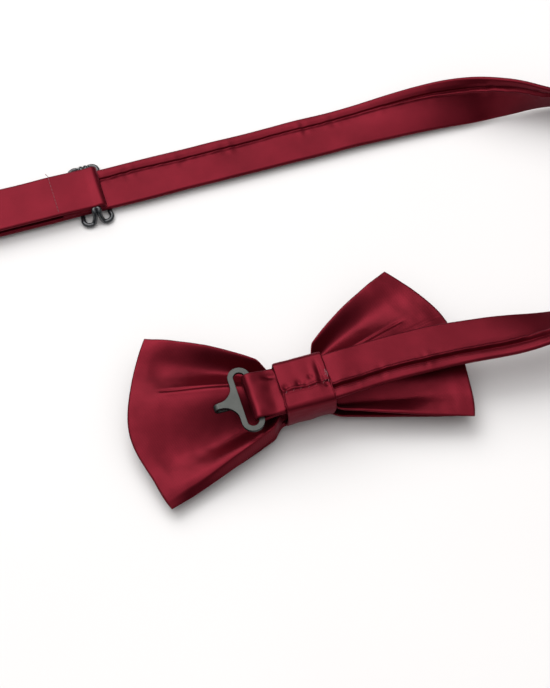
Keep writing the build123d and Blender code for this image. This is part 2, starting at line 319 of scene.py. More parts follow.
# ---------------------------------------------------------------- meshes
def surface(name, fn, us, vs, mat, close_v=False, uv=None, caps=False, flip=False):
    """Mesh over the grid us x vs, with fn(u, v) in mm; close_v joins the last column to the first."""
    nu, nv = len(us), len(vs)
    verts = [fn(u, v) * MM for u in us for v in vs]
    cols = nv if close_v else nv - 1
    faces, coords = [], []
    for i in range(nu - 1):
        for j in range(cols):
            k = (j + 1) % nv
            f = [(i, j), (i + 1, j), (i + 1, k), (i, k)]
            g = [(us[i], vs[j]), (us[i + 1], vs[j]),
                 (us[i + 1], vs[k] if k else 1.0), (us[i], vs[k] if k else 1.0)]
            if flip:
                f, g = f[::-1], g[::-1]
            faces.append([a * nv + b for a, b in f])
            coords += [uv(*p) for p in g]
    if caps and close_v:
        for row in (0, nu - 1):
            ring = [row * nv + j for j in range(nv)]
            ring = ring if (row == 0) != flip else ring[::-1]
            faces.append(ring)
            coords += [uv(us[row], vs[j]) for j in range(nv)]
    me = bpy.data.meshes.new(name)
    me.from_pydata(verts, [], faces)
    layer = me.uv_layers.new(name="UVMap")
    layer.data.foreach_set("uv", [c for p in coords for c in p])
    me.polygons.foreach_set("use_smooth", [True] * len(me.polygons))
    me.materials.append(mat)
    o = bpy.data.objects.new(name, me)
    bpy.context.scene.collection.objects.link(o)
    return o


def wire(name, pts, radius, mat, closed=False, smooth_path=True):
    """Round wire through pts, in mm."""
    cu = bpy.data.curves.new(name, "CURVE")
    cu.dimensions = "3D"
    cu.bevel_depth = radius * MM
    cu.bevel_resolution = 5
    cu.use_fill_caps = True
    sp = cu.splines.new("BEZIER" if smooth_path else "POLY")
    if smooth_path:
        sp.bezier_points.add(len(pts) - 1)
        for b, p in zip(sp.bezier_points, pts):
            b.co = Vector(p) * MM
            b.handle_left_type = b.handle_right_type = "AUTO"
        sp.resolution_u = 8
    else:
        sp.points.add(len(pts) - 1)
        for b, p in zip(sp.points, pts):
            b.co = (*(Vector(p) * MM), 1)
    sp.use_cyclic_u = closed
    cu.materials.append(mat)
    o = bpy.data.objects.new(name, cu)
    bpy.context.scene.collection.objects.link(o)
    return to_mesh(o)


def to_mesh(o):
    """Turns a curve object into a mesh object of the same name."""
    dg = bpy.context.evaluated_depsgraph_get()
    me = bpy.data.meshes.new_from_object(o.evaluated_get(dg))
    name, place = o.name, o.matrix_world.copy()
    bpy.data.objects.remove(o)
    n = bpy.data.objects.new(name, me)
    n.matrix_world = place
    bpy.context.scene.collection.objects.link(n)
    me.polygons.foreach_set("use_smooth", [True] * len(me.polygons))
    return n


def join(objs, name):
    """One mesh from several, materials kept."""
    for o in bpy.context.scene.objects:
        o.select_set(False)
    for o in objs:
        o.select_set(True)
    bpy.context.view_layer.objects.active = objs[0]
    bpy.ops.object.join()
    objs[0].name = name
    return objs[0]


def edge_spaced(n):
    """0 to 1, closer together near both ends."""
    return [0.5 - 0.5 * math.cos(math.pi * i / n) for i in range(n + 1)]


# ---------------------------------------------------------------- bow
class Wing:
    """One wing of one bow layer: two faces of satin that meet in soft rolled edges."""

    def __init__(self, side, layer):
        self.side = side
        self.rear = layer == "rear"
        left = side < 0
        self.root_x = 2.0
        self.top = math.radians(38.6 if left else 40.4)
        low = (-26.6, -24.5) if left else (-23.4, -20.5)
        self.low = math.radians(low[0] if self.rear else low[1])
        self.reach = (((0, 60.2), (0.2, 59.2), (0.46, 60.8), (0.72, 59.1), (1, 58.7)) if left else
                      ((0, 63.0), (0.25, 61.4), (0.55, 61.6), (0.8, 60.2), (1, 59.0)))
        self.tilt = 4.2 if left else 2.6
        self.seed = (3.1 if left else 8.7) + (0.0 if self.rear else 5.0)
        self.root_half = 7.2 if self.rear else 7.0
        if left:
            self.nodes = [(0, -0.2), (0.045, 0.75), (0.27, -1.0), (0.60, 0.95), (0.84, -1.0), (1, 0.75)]
            self.creases = [(0.655, 0.26, 0.84, 0.75)]
            self.swell = [(0, 0.35), (0.12, 1.0), (0.45, 0.95), (0.8, 0.5), (1, 0.12)]
            self.bend_top, self.bend_low = 0.62, 0.76
        else:
            self.nodes = [(0, 0.55), (0.16, -0.95), (0.40, 0.15), (0.60, 0.85), (0.84, -0.9), (1, 0.8)]
            self.creases = [(0.66, 0.10, 0.80, 0.8), (0.585, 0.3, 1.02, 0.35)]
            self.swell = [(0, 0.35), (0.12, 1.0), (0.5, 0.85), (0.8, 0.4), (1, 0.1)]
            self.bend_top, self.bend_low = 0.60, 0.92
        self.depth = (3.7 if left else 3.2) if self.rear else 1.3
        self.wall = 2.3 if self.rear else 2.0

    def edge(self, v):
        a = lerp(self.low, self.top, v)
        r = curve(v, self.reach) - (0.0 if self.rear else 0.8)
        return Vector((self.side * r * math.cos(a) - 0.6, 0.2 + r * math.sin(a), 0))

    def plan(self, s, v):
        end = self.edge(v)
        root = Vector((self.side * self.root_x, LINE_Y + (2 * v - 1) * self.root_half, 0))
        p = lerp(self.bend_low, self.bend_top, smooth(v))
        a = 0.02
        f = ((s + a) ** p - a ** p) / ((1 + a) ** p - a ** p)
        stay = smooth((s - 0.10) / 0.10)
        f = lerp(f * 0.25, f, stay) if s < 0.2 else f
        x = lerp(root.x, end.x, s)
        y = lerp(root.y, end.y, f)
        return Vector((x, y, 0))

    def height(self, s, v, p):
        sw = through(s, self.swell)
        z = self.depth * sw * through(v, self.nodes)
        if self.rear:
            base = lerp(10.6, 9.4 if self.side < 0 else 11.4, smooth(s))
            tilt = self.tilt * smooth(s * 1.2) * (2 * v - 1)
        else:
            base = lerp(4.6, 3.6 if self.side < 0 else 4.6, smooth(s))
            tilt = 1.2 * smooth(s * 1.2) * (2 * v - 1)
        wide = 9.0 + 52.0 * s
        for c, s0, s1, deep in self.creases:
            d = (v - c - 0.03 * (s - 0.5)) * wide
            fade = smooth((s - s0) / 0.12) * smooth((s1 - s) / 0.10)
            if self.rear:
                z += fade * deep * (-0.75 * bell(d, 0.0, 0.42) + 0.42 * bell(d, -1.0, 0.9) - 0.25 * smooth(d / 2.5))
        z += 0.35 * nz(p.x * 0.06, p.y * 0.06, self.seed) * smooth(s * 3)
        z += 0.10 * nz(p.x * 0.25, p.y * 0.25, self.seed + 4)
        return base + tilt + z

    def thick(self, s, v):
        """Cloth-to-cloth thickness, rounding off to nothing at the rolled edges."""
        wide = (9.0 + 52.0 * s)
        t = self.wall * (1.0 - 0.25 * s)
        d = min(v * wide, (1 - v) * wide)
        k1 = clamp(d / 1.0)
        k2 = clamp((1 - s) * 58.0 / 0.9)
        k1 = math.sqrt(max(0.0, 1 - (1 - k1) ** 2))
        k2 = math.sqrt(max(0.0, 1 - (1 - k2) ** 2))
        full = lerp(0.62, 1.0, smooth(d / 5.0)) * lerp(0.62, 1.0, smooth((1 - s) * 58 / 6.0))
        return t * k1 * k2 * full

    def face(self, s, v, sign):
        p = self.plan(s, v)
        z = self.height(s, v, p)
        return Vector((p.x, p.y, max(z + sign * self.thick(s, v) / 2, 0.35)))

    def build(self, name):
        nu, nv = int(150 * FINE), int(210 * FINE)
        us = [math.sin(0.5 * math.pi * i / nu) for i in range(nu + 1)]
        vs = edge_spaced(nv)

        def uv(s, v):
            p = self.plan(s, v)
            return (p.x, p.y)

        flip = self.side < 0
        back = surface(name + "_back", lambda s, v: self.face(s, v, 1), us, vs, SATIN, uv=uv, flip=flip)
        front = surface(name + "_front", lambda s, v: self.face(s, v, -1), us, vs, SATIN, uv=uv, flip=not flip)
        o = join([back, front], name)
        weld(o)
        return o

    def sheet(self, name):
        us = [0.10 + 0.83 * i / 90 for i in range(91)]
        vs = [i / 90 for i in range(91)]

        def at(s, k):
            hem = 0.09 + 0.13 * (1 - s) ** 2
            v = lerp(hem, 1 - hem, k)
            p = self.plan(s, v)
            return Vector((p.x, p.y, self.height(s, v, p)))

        return surface(name, at, us, vs, STIFF, uv=lambda s, v: (at(s, v).x, at(s, v).y), flip=self.side < 0)


def weld(o, dist=0.00002):
    """Joins the two faces of a cloth piece along their shared edge."""
    bm = bmesh.new()
    bm.from_mesh(o.data)
    bmesh.ops.remove_doubles(bm, verts=bm.verts, dist=dist)
    bm.to_mesh(o.data)
    bm.free()
    o.data.polygons.foreach_set("use_smooth", [True] * len(o.data.polygons))


def build_bow():
    """Both layers, wing by wing, with the stiffening that shows only if they are opened."""
    for layer in ("rear", "front"):
        parts = [Wing(s, layer).build(f"bow_{layer}_{n}") for s, n in ((-1, "left"), (1, "right"))]
        o = join(parts, f"bow_{layer}_satin")
        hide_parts(f"bow_{layer}_layer")
        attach(o, "bow")
        parts = [Wing(s, layer).sheet(f"sheet_{layer}_{n}") for s, n in ((-1, "left"), (1, "right"))]
        o = join(parts, f"bow_{layer}_stiffening")
        m = o.modifiers.new("cloth", "SOLIDIFY")
        m.thickness = 0.25 * MM
        m.offset = 0
        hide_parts(f"bow_{layer}_interlining")
        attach(o, "bow")


# ---------------------------------------------------------------- knot
def outline(k, inset):
    """Point at fraction k round the knot's outline: (y, z), starting on the back at the seam."""
    half, z0, z1 = KNOT_HALF - inset, inset, KNOT_HIGH - inset
    rb, rf = max(2.6 - inset, 0.9), 8.4 - inset
    segs = []
    yb, yf = half - rb, half - rf
    segs.append(("L", (-yb, z1), (yb, z1)))
    segs.append(("A", (yb, z1 - rb), rb, 90, 0))
    segs.append(("L", (half, z1 - rb), (half, z0 + rf)))
    segs.append(("A", (yf, z0 + rf), rf, 0, -90))
    segs.append(("L", (yf, z0), (-yf, z0)))
    segs.append(("A", (-yf, z0 + rf), rf, -90, -180))
    segs.append(("L", (-half, z0 + rf), (-half, z1 - rb)))
    segs.append(("A", (-yb, z1 - rb), rb, 180, 90))
    lens = []
    for s in segs:
        if s[0] == "L":
            lens.append(math.hypot(s[2][0] - s[1][0], s[2][1] - s[1][1]))
        else:
            lens.append(s[2] * math.radians(90))
    total = sum(lens)
    d = (k % 1.0) * total
    for s, ln in zip(segs, lens):
        if d <= ln:
            t = d / ln
            if s[0] == "L":
                y, z = lerp(s[1][0], s[2][0], t), lerp(s[1][1], s[2][1], t)
                ny, nzv = (s[2][1] - s[1][1]), -(s[2][0] - s[1][0])
                m = math.hypot(ny, nzv)
                return y, z, -ny / m, -nzv / m
            a = math.radians(lerp(s[3], s[4], t))
            return s[1][0] + s[2] * math.cos(a), s[1][1] + s[2] * math.sin(a), math.cos(a), math.sin(a)
        d -= ln
    return outline(0.0, inset)


def front_taper(z):
    """The wrap is pulled in towards its front face."""
    return lerp(0.76, 1.0, smooth(z / 14.0))


def knot_point(u, k):
    """Wrap surface: u goes out along the knot on the outside and back along the inside."""
    cloth = 1.05
    if u <= 0.5:
        x = lerp(KNOT[0], KNOT[1], u * 2)
        depth = 0.0
    else:
        x = lerp(KNOT[1], KNOT[0], (u - 0.5) * 2)
        depth = cloth
    y, z, ny, nn = outline(k, 0.0)
    y *= front_taper(z)
    d = min(x - KNOT[0], KNOT[1] - x)
    roll = cloth / 2 * (1 - math.sqrt(max(0.0, 1 - (1 - clamp(d / 0.55)) ** 2)))
    off = -depth + (roll if depth else -roll)
    back = smooth((z - 15.0) / 4.0)
    w = 0.0
    if not depth:
        seam = y + 2.9 + 0.25 * math.sin(x * 0.55)
        w += back * (-0.55 * bell(seam, 0.0, 0.28) + 0.30 * bell(seam, 0.75, 0.6) - 0.35 * smooth(-seam / 1.0))
        for cx, cy, r, deep in ((-5.0, -1.2, 1.1, 0.55), (-0.2, -0.6, 0.9, 0.5), (4.4, 0.6, 0.8, 0.3),
                                (7.6, -1.6, 1.1, 0.55), (9.3, -3.4, 0.9, 0.5), (2.2, -2.0, 0.8, 0.3)):
            w -= back * deep * math.exp(-((x - cx) ** 2 + (y - cy) ** 2 * 0.7) / r ** 2)
        w += back * 0.35 * math.exp(-((x - 6.2) ** 2) / 1.2) * math.exp(-((y - 1.0) ** 2) / 18)
        w -= back * 0.35 * math.exp(-((x - 8.0) ** 2) / 0.5) * math.exp(-((y - 2.0) ** 2) / 12)
        w += 0.30 * nz(x * 0.16, y * 0.12, z * 0.10 + 3)
        w += (1 - back) * 0.12 * math.sin(x * 0.7 + 0.8 * nz(y * 0.2, z * 0.2, 1))
        w *= smooth(d / 0.8)
    shift = 0.5 * nz(y * 0.2, z * 0.2, 2.0 if x < 0 else 6.0) * (1 - smooth(d / 6.0))
    off += w
    return Vector((x + shift, LINE_Y + y + ny * off, z + nn * off))


def build_knot():
    n = int(90 * FINE)
    half = edge_spaced(n)
    us = [h * 0.5 for h in half] + [0.5 + h * 0.5 for h in half[1:-1]]
    us = us + [1.0]
    vs = [i / int(260 * FINE) for i in range(int(260 * FINE))]
    o = surface("knot_wrap_satin", knot_point, us, vs, SATIN, close_v=True,
                uv=lambda u, k: ((u if u < 0.5 else 1 - u) * 36.0, k * 75.0), flip=True)
    weld(o)
    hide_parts("knot_wrap")
    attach(o, "bow")

    def lining(u, k):
        y, z, _, _ = outline(k, 1.25)
        y *= front_taper(z)
        return Vector((lerp(KNOT[0] + 0.8, KNOT[1] - 0.8, u), LINE_Y + y, z))

    o = surface("knot_stiffening", lining, [i / 8 for i in range(9)], [i / 90 for i in range(90)], STIFF,
                close_v=True, uv=lambda u, k: (u * 17, k * 70))
    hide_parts("knot_interlining")
    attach(o, "bow")


def stitch(name, a, b, rise, r, mat):
    """One visible stitch: a thread that comes up at a, arches over and goes down at b."""
    a, b, up = Vector(a), Vector(b), Vector(rise)
    pts = [a - up * 1.2, a + up * 0.35, (a + b) / 2 + up, b + up * 0.35, b - up * 1.2]
    return wire(name, pts, r, mat)


def build_knot_threads():
    """Whip stitches along the wrap's closing seam and the tacks at its right edge."""
    seam = []
    top = KNOT_HIGH - 0.2
    for i in range(6):
        x = -5.7 + i * 2.75 + 0.25 * nz(i * 1.3, 2.0)
        y = LINE_Y - 3.1 - 0.25 * math.sin(x * 0.55)
        seam.append(stitch("s", (x, y - 0.30, top - 0.25), (x + 0.55, y + 0.45, top + 0.02), (0, 0, 0.10), 0.07,
                           THREAD_PALE if i == 0 else THREAD))
    tacks = ((9.6, -0.4, 0.5, 0.8), (10.0, 0.6, 0.3, 1.5), (9.2, -2.2, 0.9, 0.5), (10.2, -2.9, 0.2, 1.0))
    for x, y, dx, dy in tacks:
        a, b = (x, LINE_Y + y, top), (x + dx, LINE_Y + y + dy, top)
        seam.append(stitch("s", a, b, (0, 0, 0.22), 0.12, THREAD_PALE))
    seam.append(wire("s", [(10.1, 2.6, 19.4), (10.45, 2.1, 20.05), (10.5, 1.0, 20.15), (10.3, -0.2, 20.0),
                           (10.6, -1.0, 19.5)], 0.11, THREAD_PALE))
    o = join(seam, "knot_stitches")
    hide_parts("knot_closing_stitches")
    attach(o, "bow")
    turns = []
    for i in range(36 * 6 + 1):
        y, z, _, _ = outline(i / 36.0, 1.75)
        y *= front_taper(z)
        z = min(z, 14.2)
        turns.append((1.2 + i * 0.0095, LINE_Y + y, z))
    o = wire("gather_binding", turns, 0.2, THREAD, smooth_path=False)
    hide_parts("gather_thread")
    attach(o, "bow")


# ---------------------------------------------------------------- strap
def strip_section(seam_at, seam_on=True):
    """Cross-section of the strap as (across, height, side) samples, height in half-thicknesses."""
    r = 0.9
    w = BAND_W / 2
    a = set()
    for i in range(13):
        d = r * (1 - math.cos(0.5 * math.pi * i / 12))
        a.add(round(w - d, 4))
        a.add(round(-w + d, 4))
    n = int(26 * FINE) + 4
    for i in range(n + 1):
        a.add(round(lerp(-w + r, w - r, i / n), 4))
    if seam_on:
        for i in range(-14, 15):
            a.add(round(seam_at + i * 0.16, 4))
    a = sorted(a)
    top = [(x, 1) for x in a[::-1]]
    low = [(x, -1) for x in a[1:-1]]
    return top + low


def strap_edge(x, w=BAND_W / 2, r=0.9):
    k = clamp((w - abs(x)) / r)
    return math.sqrt(max(0.0, 1 - (1 - k) ** 2))


class Strap:
    """Folded satin strap swept along a path of (centre, across, up) frames."""

    def __init__(self, path, length, seed, seam_at=4.3, thick=BAND_T, seam=1.0, pucker=1.0):
        self.path = path
        self.length = length
        self.seed = seed
        self.seam_at = seam_at
        self.thick = thick
        self.seam = seam
        self.pucker = pucker

    def point(self, t, a, side):
        c, across, up = self.path(t)
        d = t * self.length
        h = self.thick / 2 * strap_edge(a)
        wob = 0.45 * nz(d * 0.06, self.seed, 1.5) + 0.15 * nz(d * 0.3, self.seed, 7.0)
        x = a * (1 + 0.012 * nz(d * 0.05, self.seed, 3)) + 0.28 * nz(d * 0.045, self.seed + (9 if a > 0 else 4))
        n = side * h
        inside = strap_edge(a)
        n += 0.22 * inside * nz(d * 0.07, a * 0.12, self.seed)
        if side > 0 and self.seam:
            s = a - self.seam_at - wob
            j = 1 + 0.7 * self.pucker * nz(d * 0.38, self.seed, 2.2)
            lip = 0.42 * bell(s, -0.55, 0.5) + 0.16 * smooth((s + 3.5) / 3.0) * (s < -0.3)
            groove = -0.85 * bell(s, 0.42, 0.42) - 0.30 * bell(s, 1.1, 0.9)
            n += self.seam * inside * (lip * j + groove)
            ruck = math.sin(d * 1.15 + 2.5 * nz(d * 0.21, self.seed, 5)) * max(0.0, nz(d * 0.10, self.seed, 6))
            n += self.pucker * 0.42 * inside * ruck * bell(s, 1.0 if s > 0 else -1.0, 1.9)
        return c + across * x + up * n

    def build(self, name, ts, caps=True):
        sec = strip_section(self.seam_at, bool(self.seam))
        ids = [i / len(sec) for i in range(len(sec))]
        girth = [0.0]
        for (a0, _), (a1, _) in zip(sec, sec[1:]):
            girth.append(girth[-1] + abs(a1 - a0) + 0.05)

        def at(t, k):
            a, side = sec[int(round(k * len(sec))) % len(sec)]
            if abs(a) > BAND_W / 2 - 0.001:
                side = 1
            return self.point(t, a, side)

        def uv(t, k):
            i = int(round(k * len(sec)))
            g = girth[i] if i < len(sec) else girth[-1] + 0.3
            return (t * self.length, g)

        return surface(name, at, ts, ids, SATIN_BAND, close_v=True, uv=uv, caps=caps)


def lean_at(a):
    """Lean from flat at angle a (radians) round the turn: outer edge up, tipping inwards past upright."""
    return math.radians(curve(math.degrees(a), (
        (-22, 0), (0, 6), (11, 24), (30, 62), (60, 94), (90, 104), (120, 112), (146, 108), (157, 74),
        (166, 44), (180, 12), (196, 0))))


def drift(a):
    """How far the strap strays inwards from an even turn, on its way out and on its way back."""
    d = math.degrees(a)
    return -6.5 * smooth((d + 12) / 38) * (1 - smooth((d - 45) / 45)) - 5.0 * bell(d, 148, 22)


def turn_frame(a):
    ry = (RUN_Y - LINE_Y) / 2
    lean = lean_at(a)
    drop = (0.5 + 0.5 * math.cos(a)) ** 2
    z = RUN_Z + LEAN_LIFT * math.sin(lean) * lerp(1.0, 0.1, drop) + (BAND_Z - RUN_Z) * drop
    c = Vector((TURN_X + TURN_REACH * math.sin(a), LINE_Y + ry - ry * math.cos(a) + drift(a), z))
    t = Vector((TURN_REACH * math.cos(a), ry * math.sin(a), 0)).normalized()
    out = Vector((t.y, -t.x, 0))
    across = out * math.cos(lean) + Vector((0, 0, 1)) * math.sin(lean)
    return c, across, across.cross(t).normalized()


LOW_X0 = 3.0
TURN_LEN = 262.0
LOW_LEN = TURN_X - LOW_X0
RUN_LEN = TURN_X - (EYE_X + 3.5)
LOOP_LEN = 4.5
BAND_LEN = LOW_LEN + TURN_LEN + RUN_LEN + LOOP_LEN


def band_path(t):
    """The long strap from the knot, round the turn, through the slide and under the eye's bar."""
    d = t * BAND_LEN
    if d < LOW_LEN:
        x = LOW_X0 + d
        k = smooth((x - 11) / 20.0)
        lean = lean_at(-(TURN_X - x) / TURN_REACH)
        c = Vector((x, LINE_Y + 0.9 * k - 0.9 * smooth((x - 35) / 37), BAND_Z + 0.5 * bell(x, 16, 6)))
        c.z += LEAN_LIFT * math.sin(lean) * 0.1
        c.y += drift(-(TURN_X - x) / TURN_REACH)
        return c, Vector((0, -math.cos(lean), math.sin(lean))), Vector((0, math.sin(lean), math.cos(lean)))
    d -= LOW_LEN
    if d < TURN_LEN:
        return turn_frame(math.pi * turn_angle(d / TURN_LEN))
    d -= TURN_LEN
    if d < RUN_LEN:
        x = TURN_X - d
        lean = lean_at(math.pi + (TURN_X - x) / TURN_REACH)
        y = RUN_Y + drift(math.pi + (TURN_X - x) / TURN_REACH)
        return (Vector((x, y, RUN_Z + LEAN_LIFT * math.sin(lean))), Vector((0, math.cos(lean), math.sin(lean))),
                Vector((0, -math.sin(lean), math.cos(lean))))
    d = (d - RUN_LEN) / LOOP_LEN
    a = d * math.pi / 2
    x0 = EYE_X + 3.5
    c = Vector((lerp(x0, EYE_X - 1.9, math.sin(a)), RUN_Y, lerp(RUN_Z, EYE_Z, 1 - math.cos(a))))
    up = Vector((0.45 * math.sin(a) + 1.0 * smooth(d) * 0.8, 0, math.cos(a) + 0.02)).normalized()
    return c, Vector((0, 1, 0)), up


def turn_angle(f):
    """Fraction of the half turn at arc-length fraction f, so the cloth is not stretched."""
    i = f * (len(TURN_TABLE) - 1)
    j = min(int(i), len(TURN_TABLE) - 2)
    return lerp(TURN_TABLE[j], TURN_TABLE[j + 1], i - j)


def make_turn_table(n=160, m=900):
    ry = (RUN_Y - LINE_Y) / 2
    run, acc, prev = [0.0], 0.0, None
    for i in range(m + 1):
        a = math.pi * i / m
        p = Vector((TURN_REACH * math.sin(a), -ry * math.cos(a)))
        if prev is not None:
            acc += (p - prev).length
            run.append(acc)
        prev = p
    out, j = [], 0
    for i in range(n + 1):
        goal = acc * i / n
        while j < m and run[j + 1] < goal:
            j += 1
        span = run[min(j + 1, m)] - run[j] or 1.0
        out.append(clamp((j + (goal - run[j]) / span) / m))
    return out


TURN_TABLE = make_turn_table()


def top_path(t):
    """Top layer: over the eye's bar, along to the slide and folded round its centre bar."""
    d = t * TOP_LEN
    z_top = BAR_Z + 0.95
    if d < 4.5:
        a = (1 - d / 4.5) * math.pi / 2
        c = Vector((lerp(EYE_X + 3.5, EYE_X - 1.9, math.sin(a)), RUN_Y, EYE_Z + (z_top + 0.35 - EYE_Z) * math.cos(a)))
        up = Vector((-1.3 * math.sin(a), 0, math.cos(a) + 0.02)).normalized()
        return c, Vector((0, 1, 0)), up
    d -= 4.5
    x0, x1 = EYE_X + 3.5, SLIDE_X + 2.4
    if d < x1 - x0:
        x = x0 + d
        z = lerp(z_top + 0.35, z_top, smooth(d / 40)) - 0.35 * smooth((x - x1 + 20) / 14.0) * smooth((x1 - x) / 3)
        return Vector((x, RUN_Y, z + 0.1)), Vector((0, 1, 0)), Vector((0, 0, 1))
    d -= x1 - x0
    r = 1.0
    arc = math.pi * r
    if d < arc:
        a = d / r
        c = Vector((x1 + 1.35 * math.sin(a), RUN_Y, z_top + 0.1 - r + r * math.cos(a)))
        return c, Vector((0, 1, 0)), Vector((math.sin(a), 0, math.cos(a)))
    d -= arc
    return Vector((x1 - d, RUN_Y, z_top + 0.1 - 2 * r)), Vector((0, 1, 0)), Vector((0, 0, -1))


TOP_LEN = 4.5 + (SLIDE_X + 2.4 - EYE_X - 3.5) + math.pi + 15.0


def steps(length, spacing, dense=()):
    """Sample places along a strap, closer together inside the dense stretches (mm)."""
    out, d = [0.0], 0.0
    while d < length:
        step = spacing
        for a, b, s in dense:
            if a <= d <= b:
                step = s
        d += step
        out.append(min(d, length) / length)
    if out[-1] == out[-2]:
        out.pop()
    return out


def build_band():
    fine = 0.7 / FINE
    loop0 = BAND_LEN - LOOP_LEN
    ts = steps(BAND_LEN, fine, [(loop0 - 1, BAND_LEN, 0.3)])
    o = Strap(band_path, BAND_LEN, 2.0).build("neckband_satin", ts)
    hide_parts("neckband")
    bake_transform(o)

    inner = Strap(band_path, BAND_LEN, 2.0, seam=0.0, thick=0.5, pucker=0.0)
    us = steps(BAND_LEN, 3.0)[:-2]
    o = surface("neckband_stiffening", lambda t, k: inner.path(t)[0] + inner.path(t)[1] * lerp(-7.6, 2.6, k),
                us, [i / 6 for i in range(7)], STIFF, uv=lambda t, k: (t * BAND_LEN, k * 15))
    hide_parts("neckband_interlining")
    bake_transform(o)

    ts = steps(TOP_LEN, fine, [(0, 5.5, 0.3), (TOP_LEN - 19.5, TOP_LEN - 14, 0.15)])
    o = Strap(top_path, TOP_LEN, 6.0, thick=1.6, seam=0.0, pucker=0.0).build("strap_top_layer", ts)
    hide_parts("slide_end", "eye_fold")
    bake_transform(o)

    threads = []
    for i in range(10):
        y = RUN_Y - 7.6 + i * 1.62
        for a, b, z, rise in ((0, 1.05, BAR_Z + 1.72, 0.16), (0.9, 1.7, BAR_Z - 1.72, -0.1)):
            threads.append(stitch("s", (SEWN_X, y + a, z), (SEWN_X, y + b, z), (0, 0, rise), 0.12, THREAD))
    threads.append(wire("s", [(-61.7, RUN_Y + 8.2, BAR_Z + 1.6), (-61.6, RUN_Y + 9.0, BAR_Z + 1.5),
                              (-61.9, RUN_Y + 9.8, BAR_Z + 1.3), (-62.3, RUN_Y + 10.5, BAR_Z + 1.5)], 0.11, THREAD))
    o = join(threads, "slide_end_stitching")
    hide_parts("slide_end_stitches")
    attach(o, "slide")


# ---------------------------------------------------------------- tab
TAB_IN = 1.85
TAB_X1 = 2.0
TAB_LEAD = 6.5


def tab_path(t):
    """Short strap end: out of the knot, round the hook's hidden bar and back under itself."""
    flat = TAB_X1 - (HOOK_BAR_X + TAB_LEAD)
    lead = TAB_LEAD
    arc = math.pi * TAB_IN
    total = 2 * (flat + lead) + arc
    d = t * total
    sign = 1.0
    if d > total / 2:
        d = total - d
        sign = -1.0
    if d < flat:
        c = Vector((TAB_X1 - d, LINE_Y, BAND_Z + sign * 0.62))
        slope = 0.0
    elif d < flat + lead:
        k = (d - flat) / lead
        z = lerp(0.62, TAB_IN, smooth(k))
        slope = (TAB_IN - 0.62) * 6 * k * (1 - k) / TAB_LEAD
        c = Vector((HOOK_BAR_X + TAB_LEAD * (1 - k), LINE_Y, BAND_Z + sign * z))
    else:
        a = (d - flat - lead) / TAB_IN
        c = Vector((HOOK_BAR_X - TAB_IN * math.sin(a), LINE_Y, BAND_Z + sign * TAB_IN * math.cos(a)))
        return c, Vector((0, 1, 0)), Vector((-math.sin(a), 0, sign * math.cos(a)))
    up = Vector((slope, 0, sign)).normalized()
    return c, Vector((0, 1, 0)), up


def build_tab():
    flat = TAB_X1 - (HOOK_BAR_X + TAB_LEAD)
    total = 2 * (flat + TAB_LEAD) + math.pi * TAB_IN
    strap = Strap(tab_path, total, 11.0, thick=1.15, seam=0.0, pucker=0.0)
    plain = strap.point

    def wrinkled(t, a, side):
        c, across, up = tab_path(t)
        d = t * total
        p = plain(t, a, side)
        k = smooth((d - (TAB_X1 - KNOT[0]) + 1.5) / 2.5)
        squeeze = 1 - 0.06 * (1 - k)
        p = c + across * (a * squeeze) + (p - c - across * (p - c).dot(across))
        x = c.x
        if side > 0 and d < total / 2:
            fold = math.exp(-((x + 9.3) ** 2) / 5.5) * math.exp(-((a - 5.9 + 0.25 * (x + 9)) ** 2) / 1.3)
            p += up * (-0.75 * fold + 0.35 * math.exp(-((x + 10) ** 2) / 8) * math.exp(-((a - 4.0) ** 2) / 2.0))
            p += up * 0.30 * nz(x * 0.22, a * 0.16, 14.0)
            low = smooth((-a - 5.0) / 4.0) * smooth((x + 18) / 5.0) * (1 - smooth((x + 9) / 4.0))
            p += up * -0.30 * low
        return p

    strap.point = wrinkled
    o = strap.build("hook_tab_satin", steps(total, 0.45 / FINE))
    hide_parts("hook_tab")
    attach(o, "bow")
    threads = []
    for i in range(9):
        y = LINE_Y - 6.4 + i * 1.5
        a, b = (TAB_SEWN_X, y, BAND_Z + 1.15), (TAB_SEWN_X, y + 0.9, BAND_Z + 1.15)
        threads.append(stitch("s", a, b, (0, 0, 0.1), 0.12, THREAD))
    o = join(threads, "hook_tab_stitching")
    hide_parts("hook_tab_stitches")
    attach(o, "bow")


# ---------------------------------------------------------------- metal
def flat_plate(name, loops, thick, z, bevel, mat):
    """Stamped plate from closed outlines (the first outer, the rest holes), edges slightly rounded."""
    cu = bpy.data.curves.new(name, "CURVE")
    cu.dimensions = "2D"
    cu.fill_mode = "BOTH"
    cu.extrude = (thick / 2 - bevel) * MM
    cu.bevel_depth = bevel * MM
    cu.bevel_resolution = 3
    cu.offset = -bevel * MM
    for pts in loops:
        sp = cu.splines.new("POLY")
        sp.points.add(len(pts) - 1)
        for b, p in zip(sp.points, pts):
            b.co = (p[0] * MM, p[1] * MM, 0, 1)
        sp.use_cyclic_u = True
    cu.materials.append(mat)
    o = bpy.data.objects.new(name, cu)
    o.location = (0, 0, z * MM)
    bpy.context.scene.collection.objects.link(o)
    n = to_mesh(o)
    n.data.transform(Matrix.Translation((0, 0, z * MM)))
    n.matrix_world = Matrix.Identity(4)
    return n


def arc_pts(cx, cy, r, a0, a1, n):
    return [(cx + r * math.cos(math.radians(lerp(a0, a1, i / n))),
             cy + r * math.sin(math.radians(lerp(a0, a1, i / n)))) for i in range(n + 1)]


